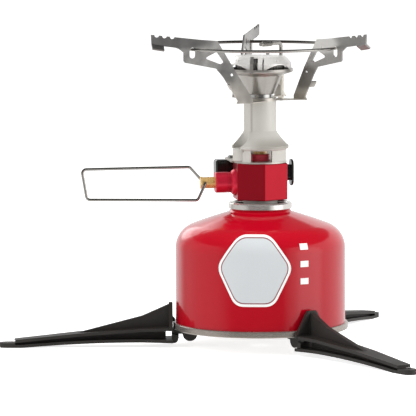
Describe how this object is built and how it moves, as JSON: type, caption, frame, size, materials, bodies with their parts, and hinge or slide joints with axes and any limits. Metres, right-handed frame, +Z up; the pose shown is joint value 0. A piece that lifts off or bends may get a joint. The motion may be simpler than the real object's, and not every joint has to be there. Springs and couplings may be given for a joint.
{
  "type": "camping stove",
  "caption": "Canister-top camping stove with folding pot arms, ring, needle valve with wire handle and push igniter, screwed on a gas canister in a folding stand.",
  "frame": {"origin": "on the ground, on the axis of the canister and burner", "axes": "+Z up along the canister and burner; -X along the fixed stand leg; the valve spindle points 7 degrees from -X towards -Y"},
  "size_m": [0.2117, 0.2383, 0.1664],
  "materials": {
    "red_paint": "gloss",
    "tinned_steel": "bright",
    "black_nylon": "satin",
    "plated_steel": "bright",
    "black_rubber": "matte",
    "white_nylon": "matte",
    "red_anodised": "satin anodised",
    "turned_aluminium": "turned",
    "brass": "turned",
    "sintered_bronze": "sintered",
    "stainless_wire": "drawn",
    "stainless_sheet": "satin",
    "burner_steel": "satin",
    "cast_aluminium": "bead blasted",
    "black_abs": "satin",
    "ceramic": "glazed"
  },
  "bodies": {
    "canister": {"canister_shell": "red_paint", "canister_base": "tinned_steel", "valve_cup": "tinned_steel", "cup_gasket": "black_rubber", "valve_boss": "tinned_steel", "valve_gasket": "black_rubber", "valve_spring": "plated_steel", "valve_housing": "white_nylon", "leg_left": "black_nylon", "stand_rivet": "plated_steel", "stand_washer": "plated_steel"},
    "valve_pin": {"valve_pin": "plated_steel"},
    "leg_right": {"leg_right": "black_nylon"},
    "leg_back": {"leg_back": "black_nylon"},
    "stove": {"valve_body": "red_anodised", "inlet_connector": "turned_aluminium", "inlet_o_ring": "black_rubber", "depressor_pin": "brass", "valve_barrel": "red_anodised", "gas_filter": "sintered_bronze", "jet": "brass", "igniter_bracket": "stainless_sheet", "bracket_screw": "plated_steel", "igniter_housing": "black_abs", "mixing_column": "cast_aluminium", "column_screws": "plated_steel", "arm_left": "stainless_sheet", "pot_ring": "stainless_wire", "electrode_bracket": "stainless_sheet", "electrode_insulator": "ceramic", "electrode": "stainless_wire", "burner_cup": "burner_steel", "burner_gauze": "stainless_sheet", "burner_cap": "burner_steel", "burner_nut": "burner_steel", "neck_spacer": "plated_steel"},
    "spindle": {"valve_spindle": "brass", "spindle_o_ring": "black_rubber"},
    "handle": {"wire_handle": "stainless_wire"},
    "arm_right": {"arm_right": "stainless_sheet"},
    "arm_back": {"arm_back": "stainless_sheet"},
    "igniter_button": {"igniter_button": "black_abs"}
  },
  "joints": [
    {"name": "stove_turn", "type": "hinge", "parent": "canister", "child": "stove", "pos_m": [0, 0, 0.0779], "axis": [0, 0, 1], "range_deg": [0, 1440]},
    {"name": "spindle_turn", "type": "hinge", "parent": "stove", "child": "spindle", "pos_m": [-0.02392, -0.00294, 0.0869], "axis": [-0.9925, -0.1219, 0], "range_deg": [0, 720]},
    {"name": "handle_fold", "type": "hinge", "parent": "spindle", "child": "handle", "pos_m": [-0.02958, -0.00363, 0.0869], "axis": [-0.1219, 0.9925, 0], "range_deg": [-44, 65]},
    {"name": "arm_right_swing", "type": "hinge", "parent": "stove", "child": "arm_right", "pos_m": [0, 0, 0.1303], "axis": [0, 0, 1], "range_deg": [-86, 0]},
    {"name": "arm_back_swing", "type": "hinge", "parent": "stove", "child": "arm_back", "pos_m": [0, 0, 0.1307], "axis": [0, 0, 1], "range_deg": [0, 86]},
    {"name": "button_press", "type": "slide", "parent": "stove", "child": "igniter_button", "axis": [-0.9925, -0.1219, 0], "range_m": [0, 0.0028], "stiffness_N_per_m": 700},
    {"name": "leg_right_swing", "type": "hinge", "parent": "canister", "child": "leg_right", "pos_m": [0, 0, 0.0103], "axis": [0, 0, 1], "range_deg": [-88, 0]},
    {"name": "leg_back_swing", "type": "hinge", "parent": "canister", "child": "leg_back", "pos_m": [0, 0, 0.0125], "axis": [0, 0, 1], "range_deg": [0, 88]},
    {"name": "valve_pin_press", "type": "slide", "parent": "canister", "child": "valve_pin", "axis": [0, 0, -1], "range_m": [0, 0.0015], "stiffness_N_per_m": 1500}
  ]
}
